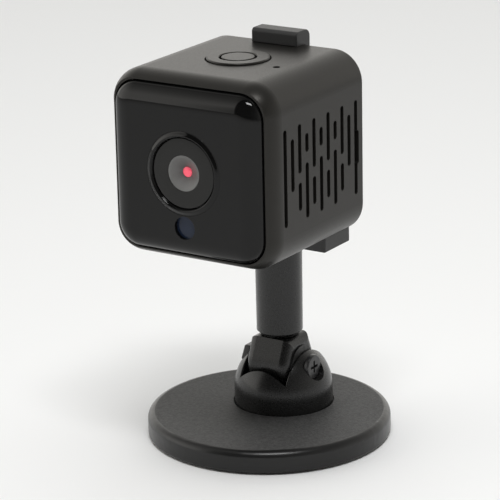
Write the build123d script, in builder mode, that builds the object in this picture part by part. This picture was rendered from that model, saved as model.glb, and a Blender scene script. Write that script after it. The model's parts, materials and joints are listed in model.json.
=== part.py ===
"""Cube security camera held in the clip bracket of a small swivelling stand.

The stand's round disc lies flat on the surface, with the origin at the middle of its underside.
+Z is up and the lens looks along -Y. All sizes are in millimetres.
"""

from build123d import *
import os

# Driving dimensions of the stand
DISC_R = 25.5
DISC_T = 4.6
PAD_R = 23.5
PAD_T = 1.0
PAD_PROUD = 0.4
HUB_Y = 5.8
HUB_R = 10.4
HUB_SINK = 0.6
PIVOT_Z = 14.0
PIVOT_FORWARD = 1.1
KNUCKLE_W = 10.1
KNUCKLE_R = 6.0
TUBE_R = 4.85
TUBE_TAPER = 0.1
ARM_LENGTH = 27.2
SWIVEL_LIMIT = 30

# Driving dimensions of the clip bracket
PLATE_W_LOW = 28.2
PLATE_W_HIGH = 27.2
PLATE_T = 2.0
PLATE_H = 34.3
SHELF_W = 28.6
SHELF_T = 3.2
SHELF_DEPTH = 9.8
TAB_W = 10.8
LIP_T = 3.0
LIP_REACH = 3.2
WINDOW_W = 11.2
WINDOW_H = 11.9
WINDOW_R = 1.7
TOOTH_W = 5.8
TOOTH_T = 0.8
TOOTH_H = 0.9

# Driving dimensions of the camera
CAM_W = 38.0
CAM_H = 37.7
CAM_D = 37.0
EDGE_R = 6.3
FRONT_EDGE_R = 6.2
REAR_EDGE_R = 0.6
WALL = 1.65
RIM_DEPTH = 2.3
PANEL_W = 34.1
PANEL_H = 33.8
PANEL_R = 5.0
PANEL_EDGE_R = 2.6
LENS_UP = 0.1
BUTTON_DEPTH = 20.4
COVER_T = 1.6

# Clearances
RUNNING = 0.05
GAP = 0.1
FIT = 0.2
SHADOW_GAP = 0.3

# Worked-out places
DISC_BASE_Z = PAD_PROUD
DISC_TOP_Z = DISC_BASE_Z + DISC_T
HUB_BASE_Z = DISC_TOP_Z - HUB_SINK + RUNNING
SHELF_BASE_Z = PIVOT_Z + ARM_LENGTH
CAM_BASE_Z = SHELF_BASE_Z + SHELF_T
CAM_Z = CAM_BASE_Z + CAM_H / 2
CAM_TOP_Z = CAM_BASE_Z + CAM_H
ARM_Y = HUB_Y - PIVOT_FORWARD
PLATE_REAR_Y = ARM_Y + SHELF_DEPTH / 2
REAR_Y = PLATE_REAR_Y - PLATE_T
FRONT_Y = REAR_Y - CAM_D
CAVITY_W = CAM_W - 2 * WALL
CAVITY_H = CAM_H - 2 * WALL
CAVITY_R = EDGE_R - WALL
CAVITY_TOP_Z = CAM_TOP_Z - WALL

ARM_AXIS = Axis((0, ARM_Y, 0), (0, 0, 1))
LENS_AXIS = Axis((0, 0, CAM_Z + LENS_UP), (0, 1, 0))


def behind_front(depth, up=0.0):
    """Plane parallel to the camera's front, facing forward, at this depth behind it."""
    return Plane(origin=(0, FRONT_Y + depth, CAM_Z + up), x_dir=(1, 0, 0), z_dir=(0, -1, 0))


def hub_level(z):
    """Horizontal plane at this height, centred on the hub."""
    return Plane(origin=(0, HUB_Y, z), x_dir=(1, 0, 0), z_dir=(0, 0, 1))


def arm_level(z):
    """Horizontal plane at this height, centred on the arm."""
    return Plane(origin=(0, ARM_Y, z), x_dir=(1, 0, 0), z_dir=(0, 0, 1))


def hinge_plane(x):
    """Plane across the hinge axis at this X, with its local axes along Y and Z."""
    return Plane(origin=(x, ARM_Y, PIVOT_Z), x_dir=(0, 1, 0), z_dir=(1, 0, 0))


def button_level(z):
    """Horizontal plane at this height, centred on the power button."""
    return Plane(origin=(0, FRONT_Y + BUTTON_DEPTH, z), x_dir=(1, 0, 0), z_dir=(0, 0, 1))


def corners(reach):
    """The four corners of a square of this half-width."""
    return [(x, z) for x in (-reach, reach) for z in (-reach, reach)]


# ---------------------------------------------------------------- stand

PAD_POCKET = PAD_T - PAD_PROUD
DISC_TOP_FILLET = 1.5
DISC_FOOT_FILLET = 0.4
HUB_SEAT_GAP = 0.25
SCREW_POCKET_R = 6.6
WEB_BASE_Z = 2.4
STEM_R = 4.0

with BuildPart() as base_disc:
    with BuildSketch(Plane.XY.offset(DISC_BASE_Z)):
        Circle(DISC_R)
    extrude(amount=DISC_T)
    fillet(base_disc.edges().group_by(Axis.Z)[-1], DISC_TOP_FILLET)
    fillet(base_disc.edges().group_by(Axis.Z)[0], DISC_FOOT_FILLET)
    with BuildSketch(Plane.XY.offset(DISC_BASE_Z)):
        Circle(PAD_R + GAP)
    extrude(amount=PAD_POCKET, mode=Mode.SUBTRACT)
    with BuildSketch(hub_level(DISC_BASE_Z)):
        Circle(SCREW_POCKET_R)
    extrude(amount=WEB_BASE_Z - DISC_BASE_Z, mode=Mode.SUBTRACT)
    with BuildSketch(hub_level(DISC_TOP_Z - HUB_SINK)):
        Circle(HUB_R + HUB_SEAT_GAP)
    extrude(amount=HUB_SINK, mode=Mode.SUBTRACT)
    with BuildSketch(hub_level(DISC_BASE_Z)):
        Circle(STEM_R + RUNNING)
    extrude(amount=DISC_T, mode=Mode.SUBTRACT)

with BuildPart() as adhesive_pad:
    with BuildSketch(Plane.XY):
        Circle(PAD_R)
    extrude(amount=PAD_T)

# The hub is a dome with a slot for the knuckle between two cheeks.
DOME_Z = 8.0
SLOT_HALF = 5.4
SWEEP_R = 7.5
CHANNEL_DROP = 5.3
FRONT_WALL_RISE = 0.5
HINGE_R = 1.5
HEAD_SEAT_X = 7.4
HINGE_HEAD_R = 2.6
NUT_SEAT_X = 6.4
NUT_FLATS = 5.0
NUT_SIDES = 6
HUB_SCREW_R = 1.5
HUB_THREAD = 3.2
CHEEK_FILLET = 0.3
STEM_BASE_Z = WEB_BASE_Z - RUNNING

with BuildPart() as swivel_hub:
    with BuildSketch(hub_level(HUB_BASE_Z)):
        Circle(HUB_R)
    extrude(amount=DOME_Z - HUB_BASE_Z)
    with Locations((0, HUB_Y, DOME_Z)):
        Sphere(HUB_R, rotation=(0, 0, 90), arc_size1=0, align=(Align.CENTER, Align.CENTER, Align.MIN))
    with BuildSketch(hub_level(STEM_BASE_Z)):
        Circle(STEM_R)
    extrude(amount=HUB_BASE_Z - STEM_BASE_Z)
    # Slot: room for the knuckle's sweep, the upright arm, and the arm folded to the rear
    with BuildSketch(hinge_plane(-SLOT_HALF)):
        Circle(SWEEP_R)
        with Locations((0, FRONT_WALL_RISE)):
            Rectangle(4 * HUB_R, 2 * HUB_R, align=(Align.CENTER, Align.MIN))
        with Locations((0, -CHANNEL_DROP)):
            Rectangle(2 * HUB_R, 4 * HUB_R, align=(Align.MIN, Align.MIN))
    extrude(amount=2 * SLOT_HALF, mode=Mode.SUBTRACT)
    with BuildSketch(hinge_plane(-HUB_R)):
        Circle(HINGE_R + RUNNING)
    extrude(amount=2 * HUB_R, mode=Mode.SUBTRACT)
    with BuildSketch(hinge_plane(HEAD_SEAT_X)):
        Circle(HINGE_HEAD_R + GAP)
    extrude(amount=HUB_R, mode=Mode.SUBTRACT)
    with BuildSketch(hinge_plane(-NUT_SEAT_X)):
        RegularPolygon(NUT_FLATS / 2 + GAP, NUT_SIDES, major_radius=False)
    extrude(amount=-HUB_R, mode=Mode.SUBTRACT)
    with BuildSketch(hub_level(STEM_BASE_Z)):
        Circle(HUB_SCREW_R)
    extrude(amount=HUB_THREAD + FIT, mode=Mode.SUBTRACT)
    # Softened edges of the two cheeks
    arcs = swivel_hub.edges().filter_by(GeomType.CIRCLE)
    cheek_arcs = arcs.filter_by(lambda edge: edge.radius > SWEEP_R + GAP)
    fillet(cheek_arcs.filter_by_position(Axis.X, -SLOT_HALF - GAP, -SLOT_HALF + GAP)
           + cheek_arcs.filter_by_position(Axis.X, SLOT_HALF - GAP, SLOT_HALF + GAP), CHEEK_FILLET)

WASHER_T = 0.5
HUB_WASHER_R = 5.6
with BuildPart() as hub_washer:
    with BuildSketch(hub_level(STEM_BASE_Z - WASHER_T)):
        Circle(HUB_WASHER_R)
        Circle(HUB_SCREW_R + GAP, mode=Mode.SUBTRACT)
    extrude(amount=WASHER_T)

HUB_HEAD_R = 3.0
HUB_HEAD_T = 0.8
HUB_HEAD_FILLET = 0.2
with BuildPart() as hub_screw:
    with BuildSketch(hub_level(STEM_BASE_Z - WASHER_T - HUB_HEAD_T)):
        Circle(HUB_HEAD_R)
    extrude(amount=HUB_HEAD_T)
    fillet(hub_screw.edges().group_by(Axis.Z)[0], HUB_HEAD_FILLET)
    with BuildSketch(hub_level(STEM_BASE_Z - WASHER_T)):
        Circle(HUB_SCREW_R)
    extrude(amount=WASHER_T + HUB_THREAD)

HINGE_HEAD_T = 1.0
HINGE_HEAD_FILLET = 0.3
CROSS_L = 2.6
CROSS_W = 0.5
CROSS_DEEP = 0.6
NUT_T = 1.6
with BuildPart() as hinge_screw:
    with BuildSketch(hinge_plane(-NUT_SEAT_X - NUT_T)):
        Circle(HINGE_R)
    extrude(amount=NUT_SEAT_X + NUT_T + HEAD_SEAT_X)
    with BuildSketch(hinge_plane(HEAD_SEAT_X)):
        Circle(HINGE_HEAD_R)
    extrude(amount=HINGE_HEAD_T)
    fillet(hinge_screw.edges().group_by(Axis.X)[-1], HINGE_HEAD_FILLET)
    # Cross recess in the head
    with BuildSketch(hinge_plane(HEAD_SEAT_X + HINGE_HEAD_T)):
        Rectangle(CROSS_L, CROSS_W)
        Rectangle(CROSS_W, CROSS_L)
    extrude(amount=-CROSS_DEEP, mode=Mode.SUBTRACT)

with BuildPart() as hinge_nut:
    with BuildSketch(hinge_plane(-NUT_SEAT_X)):
        RegularPolygon(NUT_FLATS / 2, NUT_SIDES, major_radius=False)
        Circle(HINGE_R, mode=Mode.SUBTRACT)
    extrude(amount=-NUT_T)

# Two friction washers, one against each cheek
TILT_WASHER_R = 4.2
TILT_WASHER_T = SLOT_HALF - KNUCKLE_W / 2 - RUNNING
with BuildPart() as tilt_washers:
    for start in (-SLOT_HALF, SLOT_HALF - TILT_WASHER_T):
        with BuildSketch(hinge_plane(start)):
            Circle(TILT_WASHER_R)
            Circle(HINGE_R + RUNNING, mode=Mode.SUBTRACT)
        extrude(amount=TILT_WASHER_T)

# Knuckle: a barrel across the hinge with a flat top, a stem for the arm and a stop lug
KNUCKLE_TOP = 6.1
KNUCKLE_FILLET = 1.8
NECK_HALF = 3.95
PEG_R = 2.0
PEG_H = 3.2
LUG_R = 3.0
LUG_W = 0.8
LUG_H = 0.6
SWIVEL_SCREW_R = 0.9
SWIVEL_THREAD = 4.4
with BuildPart() as knuckle:
    with BuildSketch(hinge_plane(-KNUCKLE_W / 2)):
        Circle(KNUCKLE_R)
        Rectangle(2 * NECK_HALF, KNUCKLE_TOP, align=(Align.CENTER, Align.MIN))
        make_hull()
    extrude(amount=KNUCKLE_W)
    fillet(knuckle.edges().group_by(Axis.X)[0] + knuckle.edges().group_by(Axis.X)[-1], KNUCKLE_FILLET)
    with BuildSketch(arm_level(PIVOT_Z + KNUCKLE_TOP)):
        Circle(PEG_R)
    extrude(amount=PEG_H)
    with BuildSketch(arm_level(PIVOT_Z + KNUCKLE_TOP)):
        with Locations((0, LUG_R)):
            Rectangle(LUG_W, LUG_W)
    extrude(amount=LUG_H)
    with BuildSketch(hinge_plane(-KNUCKLE_W / 2)):
        Circle(HINGE_R + RUNNING)
    extrude(amount=KNUCKLE_W, mode=Mode.SUBTRACT)
    with BuildSketch(arm_level(PIVOT_Z + KNUCKLE_TOP + PEG_H)):
        Circle(SWIVEL_SCREW_R)
    extrude(amount=-(SWIVEL_THREAD + FIT), mode=Mode.SUBTRACT)

TUBE_BASE_Z = PIVOT_Z + KNUCKLE_TOP + GAP
COLLAR_TOP_Z = PIVOT_Z + KNUCKLE_TOP + PEG_H - GAP
PEG_TOP_Z = PIVOT_Z + KNUCKLE_TOP + PEG_H
SWIVEL_WASHER_R = 3.0
SWIVEL_WASHER_T = 0.4
SWIVEL_HEAD_R = 2.0
SWIVEL_HEAD_T = 1.2
SWIVEL_HEAD_FILLET = 0.3
with BuildPart() as swivel_washer:
    with BuildSketch(arm_level(PEG_TOP_Z)):
        Circle(SWIVEL_WASHER_R)
        Circle(SWIVEL_SCREW_R + GAP, mode=Mode.SUBTRACT)
    extrude(amount=SWIVEL_WASHER_T)

with BuildPart() as swivel_screw:
    with BuildSketch(arm_level(PEG_TOP_Z + SWIVEL_WASHER_T)):
        Circle(SWIVEL_HEAD_R)
    extrude(amount=SWIVEL_HEAD_T)
    fillet(swivel_screw.edges().group_by(Axis.Z)[-1], SWIVEL_HEAD_FILLET)
    with BuildSketch(arm_level(PEG_TOP_Z + SWIVEL_WASHER_T)):
        Circle(SWIVEL_SCREW_R)
    extrude(amount=-(SWIVEL_WASHER_T + SWIVEL_THREAD))

# Arm: a slightly tapered tube with a collar round the knuckle's stem and a spigot into the shelf
BORE_R = 3.3
SPIGOT_R = 3.2
SPIGOT_H = 2.3
TUBE_CHAMFER = 1.0
CAP_T = 3.0
GROOVE_HALF_W = 0.6
LUG_HALF_ANGLE = 9.5
with BuildPart() as arm_tube:
    with BuildSketch(Plane.YZ):
        with BuildLine():
            Polyline(
                (ARM_Y + PEG_R + RUNNING, TUBE_BASE_Z),
                (ARM_Y + TUBE_R - TUBE_CHAMFER, TUBE_BASE_Z),
                (ARM_Y + TUBE_R, TUBE_BASE_Z + TUBE_CHAMFER),
                (ARM_Y + TUBE_R + TUBE_TAPER, SHELF_BASE_Z),
                (ARM_Y + SPIGOT_R, SHELF_BASE_Z),
                (ARM_Y + SPIGOT_R, SHELF_BASE_Z + SPIGOT_H),
                (ARM_Y, SHELF_BASE_Z + SPIGOT_H),
                (ARM_Y, SHELF_BASE_Z - CAP_T),
                (ARM_Y + BORE_R, SHELF_BASE_Z - CAP_T),
                (ARM_Y + BORE_R, COLLAR_TOP_Z),
                (ARM_Y + PEG_R + RUNNING, COLLAR_TOP_Z),
                close=True,
            )
        make_face()
    revolve(axis=ARM_AXIS)
    # Arc groove for the stop lug, as wide as the swivel's travel
    with BuildSketch(Plane(origin=(0, ARM_Y, TUBE_BASE_Z), x_dir=(0, 1, 0), z_dir=(0, 0, 1))):
        with BuildLine():
            sweep = SWIVEL_LIMIT + LUG_HALF_ANGLE
            inner = CenterArc((0, 0), LUG_R - GROOVE_HALF_W, -sweep, 2 * sweep)
            outer = CenterArc((0, 0), LUG_R + GROOVE_HALF_W, -sweep, 2 * sweep)
            Line(inner @ 0, outer @ 0)
            Line(inner @ 1, outer @ 1)
        make_face()
    extrude(amount=LUG_H + GAP, mode=Mode.SUBTRACT)

# Clip bracket: shelf, plate with shoulders and window, hook tab, and a tooth at each end
CLIP_SLOT_INSET = 1.5
TOOTH_Y = REAR_Y - CLIP_SLOT_INSET
SHELF_CORNER_R = 0.4
PLATE_FILLET = 0.25
SHOULDER_R = 2.2
TAB_ROOT_R = 1.2
LIP_REAR_R = 1.6
LIP_FRONT_R = 0.8
PLATE_TOP_Z = CAM_BASE_Z + PLATE_H
LIP_TOP_Z = CAM_TOP_Z + LIP_T
with BuildPart() as camera_bracket:
    with BuildSketch(Plane.XZ.offset(-PLATE_REAR_Y)):
        with BuildLine():
            Polyline(
                (-PLATE_W_LOW / 2, SHELF_BASE_Z),
                (PLATE_W_LOW / 2, SHELF_BASE_Z),
                (PLATE_W_HIGH / 2, PLATE_TOP_Z),
                (-PLATE_W_HIGH / 2, PLATE_TOP_Z),
                close=True,
            )
        plate_face = make_face()
        fillet(plate_face.vertices().group_by(Axis.Z)[-1], SHOULDER_R)
        with Locations((0, PLATE_TOP_Z)):
            Rectangle(TAB_W, 2 * (LIP_TOP_Z - PLATE_TOP_Z))
        with Locations((0, CAM_BASE_Z)):
            Rectangle(WINDOW_W, 2 * WINDOW_H, mode=Mode.SUBTRACT)
        with Locations((0, SHELF_BASE_Z)):
            Rectangle(WINDOW_W, SHELF_T, align=(Align.CENTER, Align.MIN))
    extrude(amount=PLATE_T)
    across = camera_bracket.edges().filter_by(Axis.Y)
    fillet(across.filter_by_position(Axis.Z, PLATE_TOP_Z - GAP, PLATE_TOP_Z + GAP)
           .filter_by_position(Axis.X, -TAB_W / 2 - GAP, TAB_W / 2 + GAP), TAB_ROOT_R)
    window_top_z = CAM_BASE_Z + WINDOW_H
    fillet(across.filter_by_position(Axis.Z, window_top_z - GAP, window_top_z + GAP), WINDOW_R)
    # Shelf
    with BuildSketch(Plane.XY.offset(SHELF_BASE_Z)):
        with Locations((0, PLATE_REAR_Y)):
            Rectangle(SHELF_W, SHELF_DEPTH, align=(Align.CENTER, Align.MAX))
    extrude(amount=SHELF_T)
    # Hook lip over the camera's top
    with BuildSketch(Plane.XY.offset(CAM_TOP_Z + RUNNING)):
        with Locations((0, PLATE_REAR_Y)):
            Rectangle(TAB_W, PLATE_T + LIP_REACH, align=(Align.CENTER, Align.MAX))
    extrude(amount=LIP_T - RUNNING)
    fillet(camera_bracket.edges().filter_by(Axis.X).group_by(Axis.Z)[-1].sort_by(Axis.Y)[-1:], LIP_REAR_R)
    fillet(camera_bracket.edges().filter_by(Axis.X).group_by(Axis.Z)[-1].sort_by(Axis.Y)[0:1], LIP_FRONT_R)
    # Softened outlines of the plate's two faces, and of the shelf's front
    outlines = camera_bracket.edges().filter_by_position(Axis.Z, SHELF_BASE_Z + GAP, LIP_TOP_Z)
    rear_outline = outlines.filter_by_position(Axis.Y, PLATE_REAR_Y - RUNNING, PLATE_REAR_Y + RUNNING)
    fillet(rear_outline, PLATE_FILLET)
    outlines = camera_bracket.edges().filter_by_position(Axis.Z, CAM_BASE_Z + GAP, CAM_TOP_Z - GAP)
    fillet(outlines.filter_by_position(Axis.Y, REAR_Y - RUNNING, REAR_Y + RUNNING), PLATE_FILLET)
    shelf_front = PLATE_REAR_Y - SHELF_DEPTH
    fillet(camera_bracket.edges().filter_by(Axis.Z)
           .filter_by_position(Axis.Y, shelf_front - GAP, shelf_front + GAP), SHELF_CORNER_R)
    fillet(camera_bracket.edges().group_by(Axis.Z)[0]
           .filter_by_position(Axis.Y, shelf_front - GAP, shelf_front + SHELF_CORNER_R), PLATE_FILLET)
    # Teeth
    with BuildSketch(Plane.XY.offset(CAM_BASE_Z)):
        with Locations((0, TOOTH_Y)):
            Rectangle(TOOTH_W, TOOTH_T)
    extrude(amount=TOOTH_H)
    with BuildSketch(Plane.XY.offset(CAM_TOP_Z + RUNNING)):
        with Locations((0, TOOTH_Y)):
            Rectangle(TOOTH_W, TOOTH_T)
    extrude(amount=-TOOTH_H)
    # Socket for the arm's spigot
    with BuildSketch(arm_level(SHELF_BASE_Z)):
        Circle(SPIGOT_R)
    extrude(amount=SPIGOT_H, mode=Mode.SUBTRACT)

# ---------------------------------------------------------------- camera housing

VENT_W = 1.2
VENT_PITCH = 2.67
VENT_FIRST = 7.2
VENT_UP = -0.25
FULL = [(-9.8, 9.8)]
MEDIUM = [(-3.2, 7.4)]
LONG_OVER_SHORT = [(-0.1, 9.8), (-7.7, -2.0)]
SHORT_OVER_LONG = [(3.6, 7.4), (-9.8, 1.5)]
MIDDLE_COLUMNS = [LONG_OVER_SHORT, SHORT_OVER_LONG] * 3 + [LONG_OVER_SHORT]
VENT_COLUMNS = [FULL, MEDIUM] + MIDDLE_COLUMNS + [MEDIUM, FULL]

CLIP_SLOT_L = 8.0
CLIP_SLOT_W = 1.1
CLIP_SLOT_DEEP = 1.1
CLIP_SLOT_DEPTH = CAM_D - CLIP_SLOT_INSET
SIDE_SLOT_L = 7.0
SIDE_SLOT_DEPTH = 34.5
SIDE_SLOT_UP = -0.3
LEDGE_DEPTH = 4.5
LEDGE_T = 1.5
LEDGE_OPENING = 30.0
BOARD_DEPTH = 13.2
FRONT_POST = 13.4
REAR_POST = 14.2
COVER_DEPTH = CAM_D - COVER_T
FRONT_POST_R = 2.2
REAR_POST_R = 2.6
REAR_POST_L = 9.0
POST_SCREW_R = 0.9
POST_HOLE = 6.0
RING_R = 6.4
RING_SINK = 0.7
RING_PROUD = 0.4
RING_INNER_R = 3.8
MIC_X = 10.7
MIC_DEPTH = 17.7
MIC_HOLE_R = 0.75
SWITCH_POST_X = 7.0
SWITCH_POST_R = 1.2
SWITCH_BOARD_DROP = 6.9

with BuildPart() as housing:
    with BuildSketch(behind_front(0)):
        RectangleRounded(CAM_W, CAM_H, EDGE_R)
    extrude(amount=-CAM_D)
    fillet(housing.edges().group_by(Axis.Y)[0], FRONT_EDGE_R)
    fillet(housing.edges().group_by(Axis.Y)[-1], REAR_EDGE_R)
    with BuildSketch(behind_front(0)):
        Rectangle(CAM_W, CAM_H)
    extrude(amount=-RIM_DEPTH, mode=Mode.SUBTRACT)
    with BuildSketch(behind_front(0)):
        RectangleRounded(PANEL_W + 2 * SHADOW_GAP, PANEL_H + 2 * SHADOW_GAP, PANEL_R + SHADOW_GAP)
    extrude(amount=-LEDGE_DEPTH, mode=Mode.SUBTRACT)
    with BuildSketch(behind_front(LEDGE_DEPTH)):
        RectangleRounded(CAVITY_W, CAVITY_H, CAVITY_R)
    extrude(amount=-CAM_D, mode=Mode.SUBTRACT)
    # Vents through both side walls
    with BuildSketch(Plane.YZ):
        for number, column in enumerate(VENT_COLUMNS):
            for low, high in column:
                place = (FRONT_Y + VENT_FIRST + number * VENT_PITCH, CAM_Z + VENT_UP + (low + high) / 2)
                with Locations(place):
                    SlotOverall(high - low, VENT_W, rotation=90)
    extrude(amount=CAM_W, both=True, mode=Mode.SUBTRACT)
    # Blind clip slots near the rear edges: top, bottom and both sides
    with BuildSketch(Plane.XY.offset(CAM_TOP_Z - CLIP_SLOT_DEEP)):
        with Locations((0, FRONT_Y + CLIP_SLOT_DEPTH)):
            SlotOverall(CLIP_SLOT_L, CLIP_SLOT_W)
    extrude(amount=CLIP_SLOT_DEEP, mode=Mode.SUBTRACT)
    with BuildSketch(Plane.XY.offset(CAM_BASE_Z)):
        with Locations((0, FRONT_Y + CLIP_SLOT_DEPTH)):
            SlotOverall(CLIP_SLOT_L, CLIP_SLOT_W)
    extrude(amount=CLIP_SLOT_DEEP, mode=Mode.SUBTRACT)
    for start in (-CAM_W / 2, CAM_W / 2 - CLIP_SLOT_DEEP):
        with BuildSketch(Plane.YZ.offset(start)):
            with Locations((FRONT_Y + SIDE_SLOT_DEPTH, CAM_Z + SIDE_SLOT_UP)):
                SlotOverall(SIDE_SLOT_L, CLIP_SLOT_W, rotation=90)
        extrude(amount=CLIP_SLOT_DEEP, mode=Mode.SUBTRACT)
    # Ledge behind the front panel, with posts for the main board
    with BuildSketch(behind_front(LEDGE_DEPTH)):
        RectangleRounded(CAVITY_W, CAVITY_H, CAVITY_R)
        RectangleRounded(LEDGE_OPENING, LEDGE_OPENING, PANEL_R, mode=Mode.SUBTRACT)
    extrude(amount=-LEDGE_T)
    with BuildSketch(behind_front(LEDGE_DEPTH)):
        with Locations(*corners(FRONT_POST)):
            Circle(FRONT_POST_R)
    extrude(amount=-(BOARD_DEPTH - LEDGE_DEPTH))
    with BuildSketch(behind_front(BOARD_DEPTH)):
        with Locations(*corners(FRONT_POST)):
            Circle(POST_SCREW_R)
    extrude(amount=POST_HOLE, mode=Mode.SUBTRACT)
    # Corner posts for the rear cover
    with BuildSketch(behind_front(COVER_DEPTH)):
        with Locations(*corners(REAR_POST)):
            Circle(REAR_POST_R)
    extrude(amount=REAR_POST_L)
    with BuildSketch(behind_front(COVER_DEPTH)):
        with Locations(*corners(REAR_POST)):
            Circle(POST_SCREW_R)
    extrude(amount=POST_HOLE, mode=Mode.SUBTRACT)
    # Seat of the button ring, the button's hole, and the microphone's hole
    with BuildSketch(button_level(CAM_TOP_Z - RING_SINK)):
        Circle(RING_R + SHADOW_GAP)
    extrude(amount=RING_SINK, mode=Mode.SUBTRACT)
    with BuildSketch(button_level(CAM_TOP_Z)):
        Circle(RING_INNER_R)
    extrude(amount=-WALL, mode=Mode.SUBTRACT)
    with BuildSketch(Plane.XY.offset(CAM_TOP_Z)):
        with Locations((MIC_X, FRONT_Y + MIC_DEPTH)):
            Circle(MIC_HOLE_R)
    extrude(amount=-WALL, mode=Mode.SUBTRACT)
    # Two posts that hang from the top wall and carry the switch board
    with BuildSketch(button_level(CAVITY_TOP_Z)):
        with Locations((-SWITCH_POST_X, 0), (SWITCH_POST_X, 0)):
            Circle(SWITCH_POST_R)
    extrude(amount=-(SWITCH_BOARD_DROP - WALL))

USB_DOWN = -13.5
USB_W = 8.0
USB_H = 3.0
CARD_X = -15.8
CARD_SLOT_L = 12.2
CARD_SLOT_W = 1.4
PORT_MARGIN = 0.3
PORT_CORNER_R = 1.0
COVER_HEAD_R = 1.6
with BuildPart() as rear_cover:
    with BuildSketch(behind_front(COVER_DEPTH)):
        RectangleRounded(CAVITY_W - FIT, CAVITY_H - FIT, CAVITY_R - GAP)
        with Locations((0, USB_DOWN)):
            port_w = USB_W + 2 * PORT_MARGIN
            port_h = USB_H + 2 * PORT_MARGIN
            RectangleRounded(port_w, port_h, PORT_CORNER_R, mode=Mode.SUBTRACT)
        with Locations((CARD_X, 0)):
            SlotOverall(CARD_SLOT_L, CARD_SLOT_W, rotation=90, mode=Mode.SUBTRACT)
    extrude(amount=-COVER_T)
    rear_face = Plane(origin=(0, REAR_Y, CAM_Z), x_dir=(1, 0, 0), z_dir=(0, 1, 0))
    with Locations(rear_face):
        with Locations(*corners(REAR_POST)):
            CounterSinkHole(POST_SCREW_R + GAP, COVER_HEAD_R + GAP, depth=COVER_T)

COVER_CROSS_L = 1.7
COVER_CROSS_W = 0.35
COVER_CROSS_DEEP = 0.5
with BuildPart() as cover_screws:
    with BuildSketch(behind_front(CAM_D - GAP)):
        with Locations(*corners(REAR_POST)):
            Circle(COVER_HEAD_R)
    extrude(amount=COVER_HEAD_R - POST_SCREW_R, taper=45)
    with BuildSketch(behind_front(CAM_D - GAP)):
        with Locations(*corners(REAR_POST)):
            Circle(POST_SCREW_R - RUNNING)
    extrude(amount=POST_HOLE)
    with BuildSketch(behind_front(CAM_D - GAP)):
        with Locations(*corners(REAR_POST)):
            Rectangle(COVER_CROSS_L, COVER_CROSS_W)
            Rectangle(COVER_CROSS_W, COVER_CROSS_L)
    extrude(amount=COVER_CROSS_DEEP, mode=Mode.SUBTRACT)

# ---------------------------------------------------------------- front

PANEL_T = 1.8
PANEL_SKIRT = 4.4
PANEL_WALL = 1.4
LENS_HOLE_R = 8.6
EYE_DOWN = -11.0
EYE_R = 2.35
with BuildPart() as front_panel:
    with BuildSketch(behind_front(0)):
        RectangleRounded(PANEL_W, PANEL_H, PANEL_R)
    extrude(amount=-PANEL_SKIRT)
    fillet(front_panel.edges().group_by(Axis.Y)[0], PANEL_EDGE_R)
    with BuildSketch(behind_front(PANEL_T)):
        RectangleRounded(PANEL_W - 2 * PANEL_WALL, PANEL_H - 2 * PANEL_WALL, PANEL_R - PANEL_WALL)
    extrude(amount=-PANEL_SKIRT, mode=Mode.SUBTRACT)
    with BuildSketch(behind_front(0)):
        with Locations((0, LENS_UP)):
            Circle(LENS_HOLE_R)
        with Locations((0, EYE_DOWN)):
            Circle(EYE_R)
    extrude(amount=-PANEL_T, mode=Mode.SUBTRACT)

RING_OUT_R = LENS_HOLE_R - RUNNING
RING_IN_R = 7.3
RING_SHELF_R = 6.4
RING_RISE = 0.35
DIAL_DEPTH = 0.15
DIAL_T = 1.2
LENS_Z = CAM_Z + LENS_UP
with BuildPart() as lens_ring:
    with BuildSketch(Plane.YZ):
        with BuildLine():
            crest = FRONT_Y - RING_RISE
            Polyline(
                (FRONT_Y, LENS_Z + RING_OUT_R),
                (FRONT_Y + PANEL_T, LENS_Z + RING_OUT_R),
                (FRONT_Y + PANEL_T, LENS_Z + RING_SHELF_R),
                (FRONT_Y + DIAL_DEPTH + DIAL_T, LENS_Z + RING_SHELF_R),
                (FRONT_Y + DIAL_DEPTH + DIAL_T, LENS_Z + RING_IN_R),
                (FRONT_Y, LENS_Z + RING_IN_R),
            )
            ThreePointArc(
                (FRONT_Y, LENS_Z + RING_IN_R),
                (crest, LENS_Z + (RING_IN_R + RING_OUT_R) / 2),
                (FRONT_Y, LENS_Z + RING_OUT_R),
            )
        make_face()
    revolve(axis=LENS_AXIS)

DIAL_R = 7.05
DIAL_FILLET = 0.15
CONE_R = 3.65
with BuildPart() as lens_dial:
    with BuildSketch(behind_front(DIAL_DEPTH, LENS_UP)):
        Circle(DIAL_R)
        Circle(CONE_R, mode=Mode.SUBTRACT)
    extrude(amount=-DIAL_T)
    fillet(lens_dial.edges().group_by(Axis.Y)[0].sort_by(SortBy.RADIUS)[-1], DIAL_FILLET)

CONE_FRONT = 0.2
CONE_FLOOR = 1.6
CONE_T = 2.4
PUPIL_R = 1.05
FILTER_T = 0.4
with BuildPart() as lens_cone:
    with BuildSketch(behind_front(CONE_FRONT, LENS_UP)):
        Circle(CONE_R - RUNNING)
    extrude(amount=-CONE_T)
    with BuildSketch(behind_front(CONE_FRONT, LENS_UP)) as cone_mouth:
        Circle(CONE_R - FIT)
    with BuildSketch(behind_front(CONE_FLOOR, LENS_UP)) as cone_throat:
        Circle(PUPIL_R)
    loft(mode=Mode.SUBTRACT)
    with BuildSketch(behind_front(CONE_FRONT, LENS_UP)):
        Circle(PUPIL_R)
    extrude(amount=-CONE_T, mode=Mode.SUBTRACT)

with BuildPart() as red_filter:
    with BuildSketch(behind_front(CONE_FLOOR, LENS_UP)):
        Circle(PUPIL_R)
    extrude(amount=-FILTER_T)

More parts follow.
